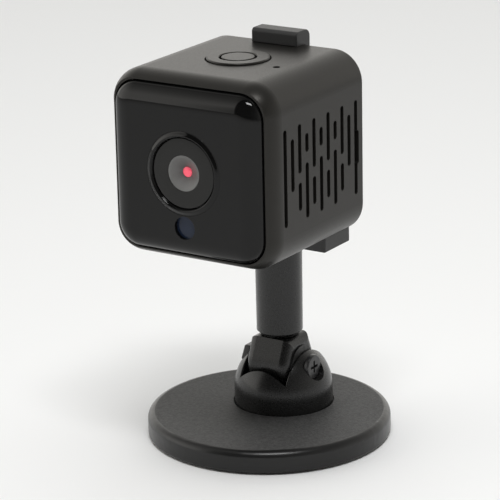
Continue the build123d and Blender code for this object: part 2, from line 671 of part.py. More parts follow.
BARREL_DEPTH = CONE_FRONT + CONE_T
BARREL_R = 3.4
BARREL_L = 6.4
LENS_R = 1.9
LENS_T = 1.4
LENS_FILLET = 0.6
with BuildPart() as lens_barrel:
    with BuildSketch(behind_front(BARREL_DEPTH, LENS_UP)):
        Circle(BARREL_R)
        Circle(LENS_R, mode=Mode.SUBTRACT)
    extrude(amount=-BARREL_L)

with BuildPart() as front_lens:
    with BuildSketch(behind_front(BARREL_DEPTH, LENS_UP)):
        Circle(LENS_R)
    extrude(amount=-LENS_T)
    fillet(front_lens.edges().group_by(Axis.Y)[0], LENS_FILLET)

HOLDER_W = 9.0
HOLDER_DEPTH = 7.0
HOLDER_FLOOR = 10.0
HOLDER_WALL = 1.2
with BuildPart() as lens_holder:
    with BuildSketch(behind_front(HOLDER_DEPTH, LENS_UP)):
        Rectangle(HOLDER_W, HOLDER_W)
        Circle(BARREL_R, mode=Mode.SUBTRACT)
    extrude(amount=-(HOLDER_FLOOR - HOLDER_DEPTH))
    with BuildSketch(behind_front(HOLDER_FLOOR, LENS_UP)):
        Rectangle(HOLDER_W, HOLDER_W)
        Rectangle(HOLDER_W - 2 * HOLDER_WALL, HOLDER_W - 2 * HOLDER_WALL, mode=Mode.SUBTRACT)
    extrude(amount=-(BOARD_DEPTH - HOLDER_FLOOR))

SENSOR_W = 5.2
SENSOR_T = 0.9
with BuildPart() as image_sensor:
    with BuildSketch(behind_front(BOARD_DEPTH - SENSOR_T, LENS_UP)):
        Rectangle(SENSOR_W, SENSOR_W)
    extrude(amount=-SENSOR_T)

EYE_DEPTH = 0.8
EYE_T = 0.9
with BuildPart() as sensor_window:
    with BuildSketch(behind_front(EYE_DEPTH)):
        with Locations((0, EYE_DOWN)):
            Circle(EYE_R)
    extrude(amount=-EYE_T)

FRONT_BOARD_DEPTH = 2.8
FRONT_BOARD_W = 30.6
FRONT_BOARD_T = 0.8
FRONT_BOARD_R = 2.8
FRONT_BOARD_HOLE_R = 4.0
FRONT_CHIP_T = 0.8
LIGHT_SENSOR_W = 2.0
IR_LIGHT_W = 1.6
IR_CIRCLE_R = 12.0
IR_LIGHTS = 6
with BuildPart() as front_board:
    with BuildSketch(behind_front(FRONT_BOARD_DEPTH)):
        RectangleRounded(FRONT_BOARD_W, FRONT_BOARD_W, FRONT_BOARD_R)
        with Locations((0, LENS_UP)):
            Circle(FRONT_BOARD_HOLE_R, mode=Mode.SUBTRACT)
    extrude(amount=-FRONT_BOARD_T)

with BuildPart() as light_sensor:
    with BuildSketch(behind_front(FRONT_BOARD_DEPTH)):
        with Locations((0, EYE_DOWN)):
            Rectangle(LIGHT_SENSOR_W, LIGHT_SENSOR_W)
    extrude(amount=FRONT_CHIP_T)

with BuildPart() as ir_lights:
    with BuildSketch(behind_front(FRONT_BOARD_DEPTH, LENS_UP)):
        with PolarLocations(IR_CIRCLE_R, IR_LIGHTS):
            Rectangle(IR_LIGHT_W, IR_LIGHT_W)
    extrude(amount=FRONT_CHIP_T)

# ---------------------------------------------------------------- inside

BOARD_W = 31.0
BOARD_T = 1.0
BOARD_R = 2.0
BOARD_SCREW_HEAD_R = 1.6
BOARD_SCREW_HEAD_T = 0.9
BOARD_SCREW_FILLET = 0.3
BOARD_SCREW_L = 5.0
with BuildPart() as main_board:
    with BuildSketch(behind_front(BOARD_DEPTH)):
        RectangleRounded(BOARD_W, BOARD_W, BOARD_R)
        with Locations(*corners(FRONT_POST)):
            Circle(POST_SCREW_R + GAP, mode=Mode.SUBTRACT)
    extrude(amount=-BOARD_T)

with BuildPart() as board_screws:
    with BuildSketch(behind_front(BOARD_DEPTH + BOARD_T)):
        with Locations(*corners(FRONT_POST)):
            Circle(BOARD_SCREW_HEAD_R)
    extrude(amount=-BOARD_SCREW_HEAD_T)
    fillet(board_screws.edges().group_by(Axis.Y)[-1], BOARD_SCREW_FILLET)
    with BuildSketch(behind_front(BOARD_DEPTH + BOARD_T)):
        with Locations(*corners(FRONT_POST)):
            Circle(POST_SCREW_R - RUNNING)
    extrude(amount=BOARD_SCREW_L)

PROCESSOR_PLACE = (9.5, -6.5)
PROCESSOR_W = 8.0
PROCESSOR_T = 1.0
with BuildPart() as processor:
    with BuildSketch(behind_front(BOARD_DEPTH)):
        with Locations(PROCESSOR_PLACE):
            Rectangle(PROCESSOR_W, PROCESSOR_W)
    extrude(amount=PROCESSOR_T)

SHIELD_PLACE = (-9.5, -6.0)
SHIELD_W = 8.5
SHIELD_H = 10.0
SHIELD_T = 1.6
SHIELD_CORNER_R = 0.6
SHIELD_FILLET = 0.3
with BuildPart() as radio_shield:
    with BuildSketch(behind_front(BOARD_DEPTH)):
        with Locations(SHIELD_PLACE):
            RectangleRounded(SHIELD_W, SHIELD_H, SHIELD_CORNER_R)
    extrude(amount=SHIELD_T)
    fillet(radio_shield.edges().group_by(Axis.Y)[0], SHIELD_FILLET)

ANTENNA_DEPTH = 9.6
ANTENNA_W = 18.0
ANTENNA_L = 5.0
ANTENNA_T = 0.4
with BuildPart() as antenna:
    with BuildSketch(Plane.XY.offset(CAVITY_TOP_Z)):
        with Locations((0, FRONT_Y + ANTENNA_DEPTH)):
            Rectangle(ANTENNA_W, ANTENNA_L)
    extrude(amount=-ANTENNA_T)

PAD_DEPTH = BOARD_DEPTH + BOARD_T
BATTERY_DEPTH = 16.0
BATTERY_DOWN = -2.5
BATTERY_T = 6.0
BATTERY_W = 24.0
BATTERY_H = 18.0
BATTERY_CORNER_R = 1.5
BATTERY_FILLET = 0.5
BATTERY_PAD_W = 18.0
BATTERY_PAD_H = 14.0
with BuildPart() as battery_pad:
    with BuildSketch(behind_front(PAD_DEPTH, BATTERY_DOWN)):
        Rectangle(BATTERY_PAD_W, BATTERY_PAD_H)
    extrude(amount=-(BATTERY_DEPTH - PAD_DEPTH))

with BuildPart() as battery:
    with BuildSketch(behind_front(BATTERY_DEPTH, BATTERY_DOWN)):
        RectangleRounded(BATTERY_W, BATTERY_H, BATTERY_CORNER_R)
    extrude(amount=-BATTERY_T)
    fillet(battery.edges().group_by(Axis.Y)[0], BATTERY_FILLET)
    fillet(battery.edges().group_by(Axis.Y)[-1], BATTERY_FILLET)

# Speaker: a shallow can that faces the right-hand vents, with a dished cone
SPEAKER_X = 13.0
SPEAKER_T = 3.4
SPEAKER_Y = FRONT_Y + 26.0
SPEAKER_L = 14.0
SPEAKER_H = 18.0
SPEAKER_CORNER_R = 2.0
SPEAKER_CONE_R = 5.8
SPEAKER_DOME_R = 2.4
SPEAKER_DISH = 1.2
SPEAKER_SLOPE = 20
with BuildPart() as speaker:
    with BuildSketch(Plane.YZ.offset(SPEAKER_X)):
        with Locations((SPEAKER_Y, CAM_Z)):
            RectangleRounded(SPEAKER_L, SPEAKER_H, SPEAKER_CORNER_R)
    extrude(amount=SPEAKER_T)
    with BuildSketch(Plane.YZ.offset(SPEAKER_X + SPEAKER_T)):
        with Locations((SPEAKER_Y, CAM_Z)):
            Circle(SPEAKER_CONE_R)
            Circle(SPEAKER_DOME_R, mode=Mode.SUBTRACT)
    extrude(amount=-SPEAKER_DISH, taper=SPEAKER_SLOPE, mode=Mode.SUBTRACT)

MIC_R = 2.0
MIC_PORT_R = 0.5
MIC_T = 1.5
MIC_PORT_DEEP = 1.2
with BuildPart() as microphone:
    with BuildSketch(Plane.XY.offset(CAVITY_TOP_Z)):
        with Locations((MIC_X, FRONT_Y + MIC_DEPTH)):
            Circle(MIC_R)
    extrude(amount=-MIC_T)
    with BuildSketch(Plane.XY.offset(CAVITY_TOP_Z)):
        with Locations((MIC_X, FRONT_Y + MIC_DEPTH)):
            Circle(MIC_PORT_R)
    extrude(amount=-MIC_PORT_DEEP, mode=Mode.SUBTRACT)

# Dust mesh behind the vents, one sheet on each side wall
MESH_T = 0.3
MESH_DEPTH = 20.7
MESH_L = 28.6
MESH_H = 21.4
with BuildPart() as vent_mesh:
    for start in (-CAVITY_W / 2, CAVITY_W / 2 - MESH_T):
        with BuildSketch(Plane.YZ.offset(start)):
            with Locations((FRONT_Y + MESH_DEPTH, CAM_Z + VENT_UP)):
                Rectangle(MESH_L, MESH_H)
        extrude(amount=MESH_T)

# ---------------------------------------------------------------- power button

RING_FILLET = 0.3
with BuildPart() as button_ring:
    with BuildSketch(button_level(CAM_TOP_Z - RING_SINK)):
        Circle(RING_R)
        Circle(RING_INNER_R, mode=Mode.SUBTRACT)
    extrude(amount=RING_SINK + RING_PROUD)
    fillet(button_ring.edges().group_by(Axis.Z)[-1], RING_FILLET)

BUTTON_R = 3.35
BUTTON_FILLET = 0.15
FLANGE_R = 4.4
FLANGE_T = 0.8
STEM_BUTTON_R = 1.2
STEM_GAP = 0.02
FLANGE_TOP_Z = CAVITY_TOP_Z - RUNNING
STEM_LENGTH = 1.8
PLUNGER_TOP_Z = FLANGE_TOP_Z - FLANGE_T - STEM_LENGTH - STEM_GAP
with BuildPart() as power_button:
    with BuildSketch(button_level(FLANGE_TOP_Z - FLANGE_T)):
        Circle(FLANGE_R)
    extrude(amount=FLANGE_T)
    with BuildSketch(button_level(FLANGE_TOP_Z)):
        Circle(BUTTON_R)
    extrude(amount=CAM_TOP_Z + RING_PROUD - FLANGE_TOP_Z)
    fillet(power_button.edges().group_by(Axis.Z)[-1], BUTTON_FILLET)
    with BuildSketch(button_level(FLANGE_TOP_Z - FLANGE_T)):
        Circle(STEM_BUTTON_R)
    extrude(amount=-STEM_LENGTH)

SWITCH_BOARD_Z = CAM_TOP_Z - SWITCH_BOARD_DROP
SWITCH_BOARD_W = 17.0
SWITCH_BOARD_L = 11.0
SWITCH_BOARD_T = 0.8
SWITCH_W = 4.6
SWITCH_CORNER_R = 0.4
SWITCH_T = 1.8
SWITCH_WELL = 1.3
PLUNGER_R = 1.0
PLUNGER_DEEP = 1.3
with BuildPart() as switch_board:
    with BuildSketch(button_level(SWITCH_BOARD_Z)):
        Rectangle(SWITCH_BOARD_W, SWITCH_BOARD_L)
    extrude(amount=-SWITCH_BOARD_T)

with BuildPart() as power_switch:
    with BuildSketch(button_level(SWITCH_BOARD_Z)):
        RectangleRounded(SWITCH_W, SWITCH_W, SWITCH_CORNER_R)
    extrude(amount=SWITCH_T)
    with BuildSketch(button_level(SWITCH_BOARD_Z + SWITCH_T)):
        Circle(PLUNGER_R + RUNNING)
    extrude(amount=-SWITCH_WELL, mode=Mode.SUBTRACT)

with BuildPart() as switch_plunger:
    with BuildSketch(button_level(PLUNGER_TOP_Z)):
        Circle(PLUNGER_R)
    extrude(amount=-PLUNGER_DEEP)

# ---------------------------------------------------------------- rear port and memory card

REAR_BOARD_DEPTH = 29.2
REAR_BOARD_T = 1.0
USB_DEPTH = REAR_BOARD_DEPTH + REAR_BOARD_T
REAR_BOARD_DOWN = -6.2
REAR_BOARD_W = 22.0
REAR_BOARD_H = 20.0
USB_L = CAM_D - FIT - USB_DEPTH
USB_WALL = 0.35
USB_CHAMFER = 0.8
USB_MOUTH_CHAMFER = 0.6
USB_MOUTH_DEEP = 5.0
TONGUE_UP = 0.3
TONGUE_W = 4.6
TONGUE_T = 0.6
TONGUE_L = 4.2
with BuildPart() as rear_board:
    with BuildSketch(behind_front(REAR_BOARD_DEPTH)):
        with Locations((0, REAR_BOARD_DOWN)):
            Rectangle(REAR_BOARD_W, REAR_BOARD_H)
    extrude(amount=-REAR_BOARD_T)

with BuildPart() as usb_port:
    with BuildSketch(behind_front(USB_DEPTH)) as port_outline:
        with Locations((0, USB_DOWN)):
            Rectangle(USB_W, USB_H)
        chamfer(port_outline.vertices().group_by(Axis.Z)[0], USB_CHAMFER)
    extrude(amount=-USB_L)
    with BuildSketch(behind_front(CAM_D - FIT)) as port_mouth:
        with Locations((0, USB_DOWN)):
            Rectangle(USB_W - 2 * USB_WALL, USB_H - 2 * USB_WALL)
        chamfer(port_mouth.vertices().group_by(Axis.Z)[0], USB_MOUTH_CHAMFER)
    extrude(amount=USB_MOUTH_DEEP, mode=Mode.SUBTRACT)
    # Contact tongue
    with BuildSketch(behind_front(CAM_D - FIT - USB_MOUTH_DEEP)):
        with Locations((0, USB_DOWN + TONGUE_UP)):
            Rectangle(TONGUE_W, TONGUE_T)
    extrude(amount=-TONGUE_L)

FLEX_DOWN = -13.4
FLEX_W = 8.0
FLEX_T = 0.2
with BuildPart() as flex_cable:
    with BuildSketch(behind_front(PAD_DEPTH)):
        with Locations((0, FLEX_DOWN)):
            Rectangle(FLEX_W, FLEX_T)
    extrude(amount=-(REAR_BOARD_DEPTH - PAD_DEPTH))

CARD_W = 11.0
CARD_L = 15.0
CARD_T = 0.7
CARD_FILLET = 0.8
CARD_END_DEPTH = CAM_D - 0.4
SOCKET_T = 1.8
SOCKET_W = 14.0
SOCKET_DEPTH = 20.0
SOCKET_L = 15.2
SOCKET_BACK = 1.0
CARD_BOARD_DEPTH = 27.0
CARD_BOARD_L = 16.0
CARD_BOARD_H = 18.0
CARD_BOARD_T = 0.8
with BuildPart() as card_socket:
    with BuildSketch(behind_front(SOCKET_DEPTH)):
        with Locations((CARD_X, 0)):
            Rectangle(SOCKET_T, SOCKET_W)
    extrude(amount=-SOCKET_L)
    with BuildSketch(behind_front(SOCKET_DEPTH + SOCKET_L)):
        with Locations((CARD_X, 0)):
            Rectangle(CARD_T + FIT, CARD_W + FIT)
    extrude(amount=SOCKET_L - SOCKET_BACK, mode=Mode.SUBTRACT)

with BuildPart() as card_board:
    with BuildSketch(Plane.YZ.offset(CARD_X + SOCKET_T / 2)):
        with Locations((FRONT_Y + CARD_BOARD_DEPTH, CAM_Z)):
            Rectangle(CARD_BOARD_L, CARD_BOARD_H)
    extrude(amount=CARD_BOARD_T)

with BuildPart() as memory_card:
    with BuildSketch(behind_front(CARD_END_DEPTH)):
        with Locations((CARD_X, 0)):
            Rectangle(CARD_T, CARD_W)
    extrude(amount=CARD_L)
    fillet(memory_card.edges().filter_by(Axis.X), CARD_FILLET)

# ---------------------------------------------------------------- files

PIECES = {
    "base_disc": base_disc,
    "adhesive_pad": adhesive_pad,
    "swivel_hub": swivel_hub,
    "hub_washer": hub_washer,
    "hub_screw": hub_screw,
    "hinge_screw": hinge_screw,
    "hinge_nut": hinge_nut,
    "tilt_washers": tilt_washers,
    "knuckle": knuckle,
    "swivel_washer": swivel_washer,
    "swivel_screw": swivel_screw,
    "arm_tube": arm_tube,
    "camera_bracket": camera_bracket,
    "housing": housing,
    "rear_cover": rear_cover,
    "cover_screws": cover_screws,
    "front_panel": front_panel,
    "lens_ring": lens_ring,
    "lens_dial": lens_dial,
    "lens_cone": lens_cone,
    "red_filter": red_filter,
    "front_lens": front_lens,
    "lens_barrel": lens_barrel,
    "lens_holder": lens_holder,
    "image_sensor": image_sensor,
    "sensor_window": sensor_window,
    "front_board": front_board,
    "light_sensor": light_sensor,
    "ir_lights": ir_lights,
    "main_board": main_board,
    "board_screws": board_screws,
    "processor": processor,
    "radio_shield": radio_shield,
    "antenna": antenna,
    "battery_pad": battery_pad,
    "battery": battery,
    "speaker": speaker,
    "microphone": microphone,
    "vent_mesh": vent_mesh,
    "button_ring": button_ring,
    "power_button": power_button,
    "switch_board": switch_board,
    "power_switch": power_switch,
    "switch_plunger": switch_plunger,
    "rear_board": rear_board,
    "usb_port": usb_port,
    "flex_cable": flex_cable,
    "card_socket": card_socket,
    "card_board": card_board,
    "memory_card": memory_card,
}

os.makedirs("parts", exist_ok=True)
for name, piece in PIECES.items():
    piece.part.label = name
    export_step(piece.part, f"parts/{name}.step")
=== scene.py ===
import json
import math

import bmesh
import bpy
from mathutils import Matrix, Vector
from mathutils.geometry import delaunay_2d_cdt

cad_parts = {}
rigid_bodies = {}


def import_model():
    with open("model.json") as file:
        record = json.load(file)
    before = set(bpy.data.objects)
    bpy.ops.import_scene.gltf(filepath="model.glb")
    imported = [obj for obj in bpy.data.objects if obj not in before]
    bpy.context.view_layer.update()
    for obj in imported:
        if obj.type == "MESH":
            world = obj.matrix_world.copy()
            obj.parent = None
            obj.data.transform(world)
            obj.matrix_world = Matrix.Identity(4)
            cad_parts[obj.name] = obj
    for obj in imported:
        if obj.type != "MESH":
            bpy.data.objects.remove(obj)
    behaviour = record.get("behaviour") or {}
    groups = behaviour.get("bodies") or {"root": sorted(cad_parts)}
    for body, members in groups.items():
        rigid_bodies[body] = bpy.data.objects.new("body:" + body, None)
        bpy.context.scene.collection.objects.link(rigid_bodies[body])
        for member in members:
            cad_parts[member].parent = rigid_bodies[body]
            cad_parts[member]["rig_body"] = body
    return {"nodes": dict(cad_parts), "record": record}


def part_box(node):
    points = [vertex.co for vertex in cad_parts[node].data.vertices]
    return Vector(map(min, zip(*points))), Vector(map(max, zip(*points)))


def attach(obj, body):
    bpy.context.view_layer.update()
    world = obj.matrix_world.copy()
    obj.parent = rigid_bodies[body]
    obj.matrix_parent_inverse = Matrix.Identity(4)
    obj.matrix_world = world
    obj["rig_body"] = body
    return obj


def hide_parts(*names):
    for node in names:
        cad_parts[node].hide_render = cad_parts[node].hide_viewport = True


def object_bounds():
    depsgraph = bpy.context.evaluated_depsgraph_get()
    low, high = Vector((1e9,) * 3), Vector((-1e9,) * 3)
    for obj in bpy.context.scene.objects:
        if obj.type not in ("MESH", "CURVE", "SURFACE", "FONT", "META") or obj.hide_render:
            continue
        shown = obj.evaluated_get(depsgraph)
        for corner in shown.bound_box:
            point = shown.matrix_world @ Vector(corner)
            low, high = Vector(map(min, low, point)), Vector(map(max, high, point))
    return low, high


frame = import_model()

CAD_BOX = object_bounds()
# Lengths are in metres, and MM turns a number of millimetres into one
MM = 0.001
NODES = frame["nodes"]


# ---------------------------------------------------------------- camera and studio

VIEW_AZIMUTH = math.radians(33.3)
VIEW_ELEVATION = math.radians(15.4)
VIEW_DISTANCE = 0.524
VIEW_ROLL = math.radians(-1.2)
# From the middle of the whole object to the point that the camera looks at
VIEW_TARGET_SHIFT = Vector((0.0, -4.0 * MM, -1.2 * MM))
LENS_MM = 188.0
SENSOR_MM = 36.0

# The studio's brightness by the sine of the elevation: bright walls under a dim ceiling.
SKY = ((0.0, 1.0), (0.34, 0.95), (0.60, 0.55), (0.80, 0.30), (1.0, 0.15))
# The walls' brightness round the horizon, in turns from -X through -Y, +X and +Y: a soft box on the front
# left, a dark gap beside it, a mid-grey right side and a bright backdrop.
WALLS = ((0.0, 1.1), (0.04, 1.8), (0.157, 1.8), (0.166, 0.07), (0.30, 0.08), (0.42, 0.25), (0.52, 0.55),
         (0.62, 0.8), (0.72, 1.3), (0.80, 1.5), (0.90, 1.45), (1.0, 1.1))
STUDIO_TINT = (1.0, 0.98, 0.935)

FLOOR_HALF = 3.0
FLOOR_COLOUR = (0.86, 0.86, 0.86, 1.0)
FLOOR_ROUGHNESS = 0.9
FLOOR_SPECULAR = 0.1


def direction(azimuth, elevation):
    """Unit vector from the object towards a viewer at this azimuth and elevation."""
    return Vector((math.sin(azimuth) * math.cos(elevation), -math.cos(azimuth) * math.cos(elevation),
                   math.sin(elevation)))


def middle(low, high):
    return (low + high) / 2


def radius_of(node):
    """Half the width of a round node whose axis runs along Y or Z."""
    low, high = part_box(node)
    return (high.x - low.x) / 2


def make_camera():
    """A long lens that looks at the cube from its front right, a little from above."""
    data = bpy.data.cameras.new("camera")
    data.lens = LENS_MM
    data.sensor_width = SENSOR_MM
    camera = bpy.data.objects.new("camera", data)
    bpy.context.scene.collection.objects.link(camera)
    camera.location = middle(*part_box("housing")) + VIEW_DISTANCE * direction(VIEW_AZIMUTH, VIEW_ELEVATION)
    target = middle(*CAD_BOX) + VIEW_TARGET_SHIFT
    look = (target - camera.location).to_track_quat("-Z", "Y").to_matrix().to_4x4()
    camera.rotation_euler = look.to_euler()
    camera.rotation_euler.rotate_axis("Z", VIEW_ROLL)
    bpy.context.scene.camera = camera


def area_light(name, place, target, size, energy, colour=(1.0, 1.0, 1.0), glossy=True):
    """A rectangular lamp that the camera doesn't see; glossy says whether it shows in reflections."""
    data = bpy.data.lights.new(name, "AREA")
    data.shape = "RECTANGLE"
    data.size, data.size_y = size
    data.energy = energy
    data.color = colour
    light = bpy.data.objects.new(name, data)
    bpy.context.scene.collection.objects.link(light)
    light.location = place
    light.rotation_euler = (Vector(target) - Vector(place)).to_track_quat("-Z", "Y").to_euler()
    light.visible_camera = False
    light.visible_glossy = glossy


def grey_ramp(tree, source, stops):
    """Brightness that follows the source value through (position, value) stops; values may pass 1."""
    node = tree.nodes.new("ShaderNodeFloatCurve")
    top = max(value for _, value in stops)
    curve = node.mapping.curves[0]
    for position, value in stops[1:-1]:
        curve.points.new(position, value / top)
    curve.points[0].location = (stops[0][0], stops[0][1] / top)
    curve.points[-1].location = (stops[-1][0], stops[-1][1] / top)
    for point in curve.points:
        point.handle_type = "VECTOR"
    node.mapping.update()
    tree.links.new(source, node.inputs["Value"])
    scaled = tree.nodes.new("ShaderNodeMath")
    scaled.operation = "MULTIPLY"
    scaled.inputs[1].default_value = top
    tree.links.new(node.outputs[0], scaled.inputs[0])
    return scaled.outputs[0]


def make_world():
    """The studio round the object: the sky's and the walls' brightness multiplied, with a warm tint."""
    world = bpy.data.worlds.new("studio")
    bpy.context.scene.world = world
    world.use_nodes = True
    tree = world.node_tree
    tree.nodes.clear()
    coordinates = tree.nodes.new("ShaderNodeTexCoord").outputs["Generated"]
    split = tree.nodes.new("ShaderNodeSeparateXYZ")
    around = tree.nodes.new("ShaderNodeTexGradient")
    around.gradient_type = "RADIAL"
    product = tree.nodes.new("ShaderNodeMath")
    product.operation = "MULTIPLY"
    background = tree.nodes.new("ShaderNodeBackground")
    output = tree.nodes.new("ShaderNodeOutputWorld")
    tree.links.new(coordinates, split.inputs[0])
    tree.links.new(coordinates, around.inputs[0])
    for number, (source, stops) in enumerate(((split.outputs["Z"], SKY), (around.outputs["Fac"], WALLS))):
        tree.links.new(grey_ramp(tree, source, stops), product.inputs[number])
    tinted = tree.nodes.new("ShaderNodeVectorMath")
    tinted.operation = "SCALE"
    tinted.inputs[0].default_value = STUDIO_TINT
    tree.links.new(product.outputs[0], tinted.inputs["Scale"])
    tree.links.new(tinted.outputs[0], background.inputs["Color"])
    tree.links.new(background.outputs[0], output.inputs[0])
    bpy.context.scene.view_settings.view_transform = "Standard"


def make_floor():
    """A wide sheet of pale paper under the object."""
    mesh = bpy.data.meshes.new("floor")
    corners = [(x * FLOOR_HALF, y * FLOOR_HALF, 0) for x, y in ((-1, -1), (1, -1), (1, 1), (-1, 1))]
    mesh.from_pydata(corners, [], [(0, 1, 2, 3)])
    floor = bpy.data.objects.new("floor", mesh)
    bpy.context.scene.collection.objects.link(floor)
    material = bpy.data.materials.new("floor_paper")
    material.use_nodes = True
    shader = material.node_tree.nodes["Principled BSDF"]
    shader.inputs["Base Color"].default_value = FLOOR_COLOUR
    shader.inputs["Roughness"].default_value = FLOOR_ROUGHNESS
    shader.inputs["Specular IOR Level"].default_value = FLOOR_SPECULAR
    mesh.materials.append(material)


make_camera()
make_world()
make_floor()
area_light("floor_fill", place=(0.0, 0.2, 1.3), target=(0.0, 0.0, 0.0), size=(1.4, 1.4), energy=8.0,
           colour=(0.96, 0.985, 1.0), glossy=False)
area_light("key_box", place=(0.20, -0.25, 0.66), target=(0.0, 0.0, 0.06), size=(0.30, 0.12), energy=2.2)


# ---------------------------------------------------------------- materials

# Noise scales, in features per metre
CLOUD = 55.0
FINE_CLOUD = 300.0
SMEAR = 1200.0
GRAIN = 3000.0
RIPPLE = 500.0
SAND = 1900.0

# How deep the relief of each surface is
GRAIN_DEPTH = 0.002 * MM
POLISHED_DEPTH = 0.0008 * MM
GLOSS_DEPTH = 0.0005 * MM
SAND_DEPTH = 0.08 * MM

# The disc's smooth rim starts to show this far in from its edge, and is full a little further out
RIM_START = 1.55 * MM
RIM_FULL = 1.40 * MM
SAND_ROUGHNESS = 0.62
RIM_ROUGHNESS = 0.30

# Painted shade on the cone: its grey runs from the darker inner to the outer colour between these shares of
# its radius
CONE_PAINTED_SHADE_START = 0.30
CONE_PAINTED_SHADE_END = 0.85
CONE_ROUGHNESS = (0.35, 0.45)

# A simple finish clouds towards a colour this many times as bright plus this much, and its roughness
# varies by this share either way
CLOUD_GAIN = 1.2
CLOUD_LIFT = 0.004
GLOSS_SPREAD = 0.15


class Graph:
    """A new material's node tree, with short calls for the nodes used here."""

    def __init__(self, name):
        self.material = bpy.data.materials.new(name)
        self.material.use_nodes = True
        self.tree = self.material.node_tree
        self.shader = self.tree.nodes["Principled BSDF"]
        self.place = self.tree.nodes.new("ShaderNodeTexCoord").outputs["Object"]

    def link(self, source, target):
        self.tree.links.new(source, target)

    def noise(self, scale, detail=2.0, roughness=0.5):
        node = self.tree.nodes.new("ShaderNodeTexNoise")
        node.inputs["Scale"].default_value = scale
        node.inputs["Detail"].default_value = detail
        node.inputs["Roughness"].default_value = roughness
        self.link(self.place, node.inputs["Vector"])
        return node.outputs["Fac"]

    def ramp(self, value, low, high, start=0.35, end=0.65):
        """Runs from low to high while the value runs from start to end; a noise stays near 0.35 to 0.65."""
        node = self.tree.nodes.new("ShaderNodeMapRange")
        node.inputs["From Min"].default_value = start
        node.inputs["From Max"].default_value = end
        node.inputs["To Min"].default_value = low
        node.inputs["To Max"].default_value = high
        self.link(value, node.inputs["Value"])
        return node.outputs["Result"]

    def mix(self, factor, first, second):
        node = self.tree.nodes.new("ShaderNodeMix")
        node.data_type = "RGBA"
        node.inputs["A"].default_value = (*first, 1)
        node.inputs["B"].default_value = (*second, 1)
        self.link(factor, node.inputs["Factor"])
        return node.outputs["Result"]

    def bump(self, height, distance):
        """Relief that follows the height at full strength, this deep between 0 and 1."""
        node = self.tree.nodes.new("ShaderNodeBump")
        node.inputs["Strength"].default_value = 1.0
        node.inputs["Distance"].default_value = distance
        self.link(height, node.inputs["Height"])
        return node.outputs["Normal"]

    def reach(self, centre, across):
        """Distance from the centre, counted only along the directions that are 1 in across."""
        offset = self.tree.nodes.new("ShaderNodeVectorMath")
        offset.operation = "SUBTRACT"
        offset.inputs[1].default_value = centre
        self.link(self.place, offset.inputs[0])
        flat = self.tree.nodes.new("ShaderNodeVectorMath")
        flat.operation = "MULTIPLY"
        flat.inputs[1].default_value = across
        self.link(offset.outputs[0], flat.inputs[0])
        length = self.tree.nodes.new("ShaderNodeVectorMath")
        length.operation = "LENGTH"
        self.link(flat.outputs[0], length.inputs[0])
        return length.outputs["Value"]

    def set(self, **values):
        """Sets the shader's own sockets, named with underscores for spaces."""
        for name, value in values.items():
            self.shader.inputs[name.replace("_", " ")].default_value = value


def plastic(name, dark, light, roughness, grain=GRAIN, depth=GRAIN_DEPTH, specular=0.4, tint=(1, 1, 1)):
    """Moulded plastic: faint clouding of the colour, uneven gloss and a fine raised grain."""
    g = Graph(name)
    g.set(Specular_IOR_Level=specular, Specular_Tint=(*tint, 1.0))
    g.link(g.mix(g.noise(CLOUD, detail=4.0), dark, light), g.shader.inputs["Base Color"])
    fine = g.noise(grain, detail=3.0, roughness=0.6)
    g.link(g.ramp(fine, *roughness), g.shader.inputs["Roughness"])
    g.link(g.bump(fine, depth), g.shader.inputs["Normal"])
    return g.material


def plain(name, colour, roughness, metallic=0.0, specular=0.5, glow=0.0):
    """A simple finish: lightly clouded colour and uneven gloss, with a painted glow of its own colour when
    glow is above 0.
    """
    g = Graph(name)
    g.set(Metallic=metallic, Specular_IOR_Level=specular)
    g.set(Emission_Color=(*colour, 1.0), Emission_Strength=glow)
    lighter = tuple(min(1.0, channel * CLOUD_GAIN + CLOUD_LIFT) for channel in colour)
    g.link(g.mix(g.noise(FINE_CLOUD, detail=3.0), colour, lighter), g.shader.inputs["Base Color"])
    smear = g.noise(SMEAR, detail=3.0)
    uneven = g.ramp(smear, roughness * (1 - GLOSS_SPREAD), roughness * (1 + GLOSS_SPREAD))
    g.link(uneven, g.shader.inputs["Roughness"])
    return g.material


def painted_shade_cone(name, inner, outer):
    """The lens cone's grey with painted shade, which darkens towards the pupil at the bottom of the recess.
    """
    g = Graph(name)
    g.set(Specular_IOR_Level=0.3)
    radius = radius_of("lens_cone")
    from_axis = g.reach(middle(*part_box("lens_cone")), across=(1, 0, 1))
    share = g.ramp(from_axis, 0.0, 1.0, start=radius * CONE_PAINTED_SHADE_START, end=radius * CONE_PAINTED_SHADE_END)
    g.link(g.mix(share, inner, outer), g.shader.inputs["Base Color"])
    g.link(g.ramp(g.noise(SMEAR, detail=3.0), *CONE_ROUGHNESS), g.shader.inputs["Roughness"])
    return g.material


def sandy_disc(name, dark, light, rim_colour):
    """A sandy moulded face inside a smooth, darker rim."""
    g = Graph(name)
    g.set(Specular_IOR_Level=0.4)
    radius = radius_of("base_disc")
    from_axis = g.reach(middle(*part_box("base_disc")), across=(1, 1, 0))
    rim = g.ramp(from_axis, 0.0, 1.0, start=radius - RIM_START, end=radius - RIM_FULL)
    sand = g.noise(SAND, detail=4.0, roughness=0.65)
    colour = g.tree.nodes.new("ShaderNodeMix")
    colour.data_type = "RGBA"
    colour.inputs["B"].default_value = (*rim_colour, 1)
    g.link(rim, colour.inputs["Factor"])
    g.link(g.mix(g.ramp(sand, 0.0, 1.0), dark, light), colour.inputs["A"])
    g.link(colour.outputs["Result"], g.shader.inputs["Base Color"])
    g.link(g.ramp(rim, SAND_ROUGHNESS, RIM_ROUGHNESS, start=0.0, end=1.0), g.shader.inputs["Roughness"])
    smoothed = g.tree.nodes.new("ShaderNodeMix")
    g.link(rim, smoothed.inputs["Factor"])
    g.link(sand, smoothed.inputs["A"])
    g.link(g.noise(FINE_CLOUD), smoothed.inputs["B"])
    g.link(g.bump(smoothed.outputs["Result"], SAND_DEPTH), g.shader.inputs["Normal"])
    return g.material


